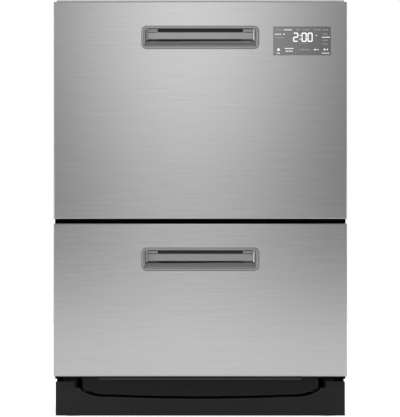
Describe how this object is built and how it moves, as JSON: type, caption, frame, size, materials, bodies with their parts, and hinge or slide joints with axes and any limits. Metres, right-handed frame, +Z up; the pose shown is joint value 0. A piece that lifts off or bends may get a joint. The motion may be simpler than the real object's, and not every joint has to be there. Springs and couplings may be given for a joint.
{
  "type": "double drawer dishwasher",
  "caption": "Built-under dishwasher with stacked pull-out washing drawers, recessed handles, brushed steel fronts and a black toe kick.",
  "frame": {"origin": "on the floor, under the middle of the machine's overall box", "axes": "+Z up, +X to the right seen from the front, -Y out of the front, the way the drawers open"},
  "size_m": [0.599, 0.573, 0.85],
  "materials": {
    "brushed_front": "brushed, horizontal grain",
    "handle_steel": "satin",
    "display_glass": "glossy",
    "cabinet_steel": "zinc grey",
    "black_trim": "matte",
    "kick_paint": "satin black",
    "apron_plastic": "satin",
    "frame_plastic": "matte",
    "tub_plastic": "smooth moulded",
    "lid_plastic": "matte",
    "seal_rubber": "matte",
    "rack_wire": "nylon coated",
    "shelf_plastic": "satin moulded",
    "dispenser_plastic": "smooth moulded",
    "cap_plastic": "satin",
    "filter_steel": "satin",
    "wash_plastic": "satin",
    "motor_case": "satin",
    "rail_steel": "zinc plated",
    "lift_plastic": "matte",
    "foot_plastic": "matte"
  },
  "bodies": {
    "chassis": {"side_panel_left": "cabinet_steel", "side_panel_right": "cabinet_steel", "top_panel": "cabinet_steel", "rear_panel": "cabinet_steel", "base_pan": "cabinet_steel", "front_trim": "black_trim", "toe_kick": "kick_paint", "case_screws": "rail_steel", "inlet_valve": "lift_plastic", "drain_spigot": "lift_plastic", "cord_gland": "lift_plastic", "outer_rails": "rail_steel", "lid_lifts": "lift_plastic"},
    "lower_drawer": {"lower_front_panel": "brushed_front", "lower_front_frame": "frame_plastic", "lower_handle": "handle_steel", "lower_tub": "tub_plastic", "lower_wash_motor": "motor_case", "lower_filter_plate": "filter_steel", "lower_inner_rails": "rail_steel", "lower_base_rack": "rack_wire", "lower_dispenser": "dispenser_plastic", "lower_apron": "apron_plastic"},
    "lower_runners": {"lower_middle_rails": "rail_steel"},
    "lower_tub_cover": {"lower_lid": "lid_plastic", "lower_lid_seal": "seal_rubber"},
    "lower_spray": {"lower_spray_arm": "wash_plastic"},
    "lower_pump_wheel": {"lower_wash_rotor": "wash_plastic"},
    "lower_filter_cup": {"lower_drain_filter": "wash_plastic"},
    "lower_tine_row": {"lower_folding_tines": "rack_wire"},
    "lower_detergent_door": {"lower_dispenser_door": "dispenser_plastic"},
    "lower_rinse_aid_cap": {"lower_rinse_cap": "cap_plastic"},
    "upper_drawer": {"upper_front_panel": "brushed_front", "upper_front_frame": "frame_plastic", "upper_handle": "handle_steel", "upper_tub": "tub_plastic", "upper_wash_motor": "motor_case", "upper_filter_plate": "filter_steel", "upper_inner_rails": "rail_steel", "upper_base_rack": "rack_wire", "upper_dispenser": "dispenser_plastic", "upper_display_window": "display_glass", "upper_control_module": "frame_plastic", "upper_cutlery_basket": "shelf_plastic"},
    "upper_runners": {"upper_middle_rails": "rail_steel"},
    "upper_tub_cover": {"upper_lid": "lid_plastic", "upper_lid_seal": "seal_rubber"},
    "upper_spray": {"upper_spray_arm": "wash_plastic"},
    "upper_pump_wheel": {"upper_wash_rotor": "wash_plastic"},
    "upper_filter_cup": {"upper_drain_filter": "wash_plastic"},
    "upper_tine_row": {"upper_folding_tines": "rack_wire"},
    "upper_detergent_door": {"upper_dispenser_door": "dispenser_plastic"},
    "upper_rinse_aid_cap": {"upper_rinse_cap": "cap_plastic"},
    "cup_shelf_left": {"upper_cup_shelf_left": "shelf_plastic"},
    "cup_shelf_right": {"upper_cup_shelf_right": "shelf_plastic"},
    "leveller_front_left": {"foot_front_left": "foot_plastic"},
    "leveller_front_right": {"foot_front_right": "foot_plastic"},
    "leveller_rear_left": {"foot_rear_left": "foot_plastic"},
    "leveller_rear_right": {"foot_rear_right": "foot_plastic"}
  },
  "joints": [
    {"name": "drawer_lower_slide", "type": "slide", "parent": "chassis", "child": "lower_drawer", "axis": [0, -1, 0], "range_m": [0, 0.5]},
    {"name": "runner_lower_slide", "type": "slide", "parent": "chassis", "child": "lower_runners", "axis": [0, -1, 0], "range_m": [0, 0.25]},
    {"name": "lid_lower_lift", "type": "slide", "parent": "chassis", "child": "lower_tub_cover", "axis": [0, 0, 1], "range_m": [-0.008, 0]},
    {"name": "spray_arm_lower_spin", "type": "hinge", "parent": "lower_drawer", "child": "lower_spray", "pos_m": [0, -0.013, 0.1384], "axis": [0, 0, 1], "continuous": true},
    {"name": "pump_wheel_lower_spin", "type": "hinge", "parent": "lower_drawer", "child": "lower_pump_wheel", "pos_m": [0, -0.013, 0.0994], "axis": [0, 0, 1], "continuous": true},
    {"name": "filter_cup_lower_twist", "type": "hinge", "parent": "lower_drawer", "child": "lower_filter_cup", "pos_m": [0.112, 0.049, 0.1072], "axis": [0, 0, 1], "range_deg": [0, 90]},
    {"name": "tine_row_lower_fold", "type": "hinge", "parent": "lower_drawer", "child": "lower_tine_row", "pos_m": [0, -0.01717, 0.189], "axis": [1, 0, 0], "range_deg": [0, 90]},
    {"name": "detergent_door_lower", "type": "hinge", "parent": "lower_drawer", "child": "lower_detergent_door", "pos_m": [-0.032, -0.2342, 0.2784], "axis": [-1, 0, 0], "range_deg": [0, 95]},
    {"name": "rinse_cap_lower_twist", "type": "hinge", "parent": "lower_drawer", "child": "lower_rinse_aid_cap", "pos_m": [0.049, -0.236, 0.3024], "axis": [0, 1, 0], "range_deg": [0, 90]},
    {"name": "drawer_upper_slide", "type": "slide", "parent": "chassis", "child": "upper_drawer", "axis": [0, -1, 0], "range_m": [0, 0.5]},
    {"name": "runner_upper_slide", "type": "slide", "parent": "chassis", "child": "upper_runners", "axis": [0, -1, 0], "range_m": [0, 0.25]},
    {"name": "lid_upper_lift", "type": "slide", "parent": "chassis", "child": "upper_tub_cover", "axis": [0, 0, 1], "range_m": [-0.008, 0]},
    {"name": "spray_arm_upper_spin", "type": "hinge", "parent": "upper_drawer", "child": "upper_spray", "pos_m": [0, -0.013, 0.504], "axis": [0, 0, 1], "continuous": true},
    {"name": "pump_wheel_upper_spin", "type": "hinge", "parent": "upper_drawer", "child": "upper_pump_wheel", "pos_m": [0, -0.013, 0.465], "axis": [0, 0, 1], "continuous": true},
    {"name": "filter_cup_upper_twist", "type": "hinge", "parent": "upper_drawer", "child": "upper_filter_cup", "pos_m": [0.112, 0.049, 0.4728], "axis": [0, 0, 1], "range_deg": [0, 90]},
    {"name": "tine_row_upper_fold", "type": "hinge", "parent": "upper_drawer", "child": "upper_tine_row", "pos_m": [0, -0.01717, 0.5546], "axis": [1, 0, 0], "range_deg": [0, 90]},
    {"name": "detergent_door_upper", "type": "hinge", "parent": "upper_drawer", "child": "upper_detergent_door", "pos_m": [-0.032, -0.2342, 0.731], "axis": [-1, 0, 0], "range_deg": [0, 95]},
    {"name": "rinse_cap_upper_twist", "type": "hinge", "parent": "upper_drawer", "child": "upper_rinse_aid_cap", "pos_m": [0.049, -0.236, 0.755], "axis": [0, 1, 0], "range_deg": [0, 90]},
    {"name": "cup_shelf_left_fold", "type": "hinge", "parent": "upper_drawer", "child": "cup_shelf_left", "pos_m": [-0.254, 0.01, 0.6406], "axis": [0, -1, 0], "range_deg": [0, 96]},
    {"name": "cup_shelf_right_fold", "type": "hinge", "parent": "upper_drawer", "child": "cup_shelf_right", "pos_m": [0.254, 0.01, 0.6406], "axis": [0, 1, 0], "range_deg": [0, 96]},
    {"name": "foot_front_left_screw", "type": "slide", "parent": "chassis", "child": "leveller_front_left", "axis": [0, 0, 1], "range_m": [-0.036, 0]},
    {"name": "foot_front_right_screw", "type": "slide", "parent": "chassis", "child": "leveller_front_right", "axis": [0, 0, 1], "range_m": [-0.036, 0]},
    {"name": "foot_rear_left_screw", "type": "slide", "parent": "chassis", "child": "leveller_rear_left", "axis": [0, 0, 1], "range_m": [-0.036, 0]},
    {"name": "foot_rear_right_screw", "type": "slide", "parent": "chassis", "child": "leveller_rear_right", "axis": [0, 0, 1], "range_m": [-0.036, 0]}
  ],
  "couplings": [
    {"joint": "runner_lower_slide", "follows": "drawer_lower_slide", "ratio": 0.5},
    {"joint": "runner_upper_slide", "follows": "drawer_upper_slide", "ratio": 0.5}
  ]
}
